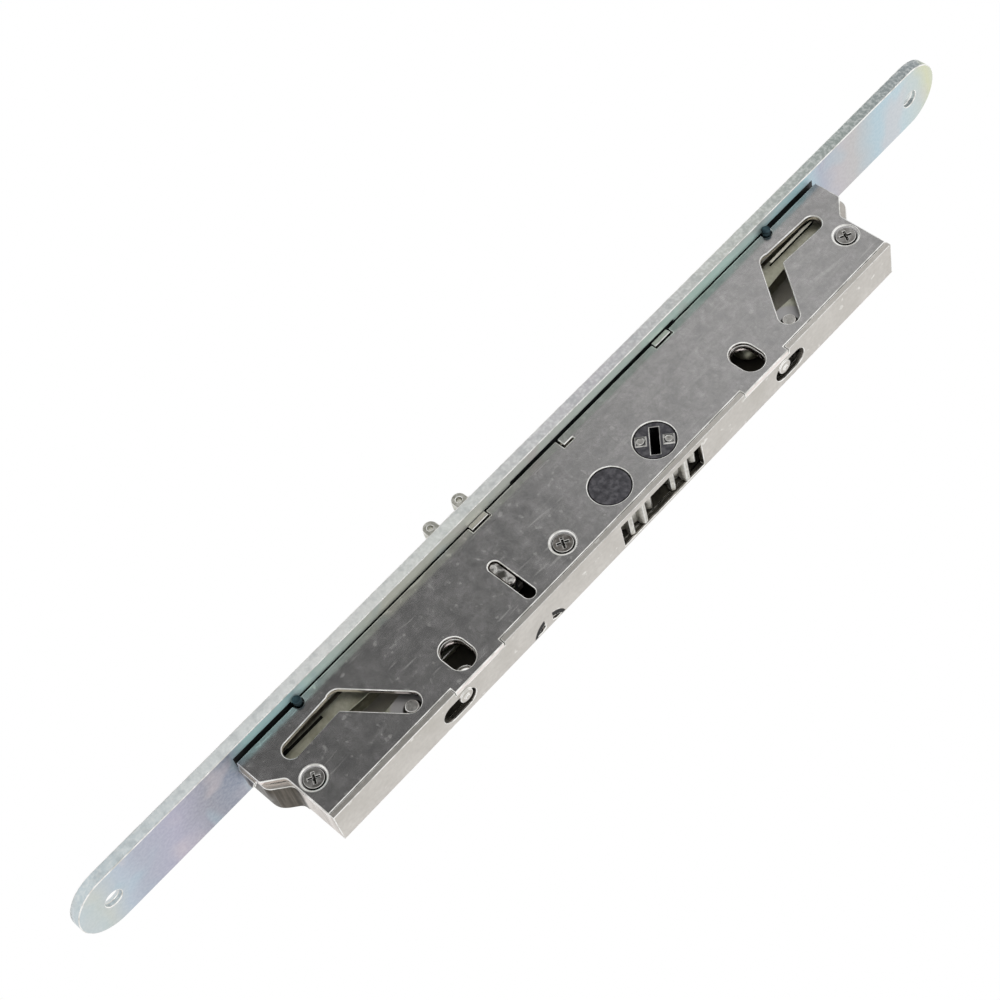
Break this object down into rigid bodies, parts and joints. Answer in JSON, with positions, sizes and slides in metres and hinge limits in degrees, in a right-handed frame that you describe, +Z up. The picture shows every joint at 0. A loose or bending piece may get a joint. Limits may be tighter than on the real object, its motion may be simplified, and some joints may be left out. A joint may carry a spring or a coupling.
{
  "type": "multipoint door lock",
  "caption": "Two-point mortise lock for a sliding door: round-ended faceplate, folded sheet case, geared hub, opposed rack slides, swinging hooks and a spring plunger.",
  "frame": {"origin": "on the faceplate's front face, midway between its two fixing screw holes", "axes": "+Z up along the lock's length; +X from the faceplate's front face into the door; +Y across the door's thickness, from the cover side to the closed side"},
  "size_m": [0.0399, 0.0188, 0.297],
  "materials": {
    "faceplate": "bright zinc plate with a faint blue and pink bloom",
    "case_housing": "bare zinc-coated sheet, smooth",
    "case_cover": "rolled sheet, grey, finely scratched",
    "posts": "turned steel",
    "cover_screws": "zinc-plated screws",
    "locating_pins": "dark oiled steel",
    "gears": "sintered steel, matt",
    "rivets": "steel rivets",
    "slides": "stamped steel",
    "hooks": "stamped steel, yellowish zinc",
    "pins": "hardened pin steel",
    "plunger": "die-cast zinc, smooth",
    "spring": "drawn spring wire"
  },
  "bodies": {
    "case": {"faceplate": "faceplate", "case_housing": "case_housing", "case_cover": "case_cover", "cover_post_upper": "posts", "cover_post_middle": "posts", "cover_post_lower": "posts", "cover_screw_upper": "cover_screws", "cover_screw_middle": "cover_screws", "cover_screw_lower": "cover_screws", "locating_pin_upper": "locating_pins", "locating_pin_lower": "locating_pins", "anti_slam_spring": "spring"},
    "hub": {"hub_gear": "gears", "hub_rivets": "rivets"},
    "idler": {"idler_gear": "gears"},
    "upper_slide": {"upper_slide": "slides", "upper_pivot_pin": "pins"},
    "lower_slide": {"lower_slide": "slides", "lower_pivot_pin": "pins"},
    "upper_hook": {"upper_hook": "hooks", "upper_guide_pin": "pins"},
    "lower_hook": {"lower_hook": "hooks", "lower_guide_pin": "pins"},
    "plunger": {"anti_slam_plunger": "plunger", "anti_slam_stud": "plunger"}
  },
  "joints": [
    {"name": "hub_turn", "type": "hinge", "parent": "case", "child": "hub", "pos_m": [0.0224, 0, 0.0193], "axis": [0, 1, 0], "range_deg": [0, 180]},
    {"name": "idler_turn", "type": "hinge", "parent": "case", "child": "idler", "pos_m": [0.0224, 0, 0.00358], "axis": [0, 1, 0], "range_deg": [-180, 0]},
    {"name": "upper_slide_run", "type": "slide", "parent": "case", "child": "upper_slide", "axis": [0, 0, 1], "range_m": [0, 0.0247]},
    {"name": "lower_slide_run", "type": "slide", "parent": "case", "child": "lower_slide", "axis": [0, 0, -1], "range_m": [0, 0.0247]},
    {"name": "upper_hook_swing", "type": "hinge", "parent": "upper_slide", "child": "upper_hook", "pos_m": [0.01815, 0, 0.0568], "axis": [0, -1, 0], "range_deg": [0, 74.4]},
    {"name": "lower_hook_swing", "type": "hinge", "parent": "lower_slide", "child": "lower_hook", "pos_m": [0.01815, 0, -0.0568], "axis": [0, 1, 0], "range_deg": [0, 74.4]},
    {"name": "anti_slam_push", "type": "slide", "parent": "case", "child": "plunger", "axis": [1, 0, 0], "range_m": [0, 0.006], "stiffness_N_per_m": 300, "springref_m": -0.002, "deforming": ["anti_slam_spring"]}
  ],
  "couplings": [
    {"joint": "idler_turn", "follows": "hub_turn", "ratio": -1},
    {"joint": "upper_slide_run", "follows": "hub_turn", "m_per_rad": 0.00786},
    {"joint": "lower_slide_run", "follows": "hub_turn", "m_per_rad": 0.00786},
    {"joint": "upper_hook_swing", "follows": "hub_turn", "ratio": 0.41324},
    {"joint": "lower_hook_swing", "follows": "hub_turn", "ratio": 0.41324}
  ]
}
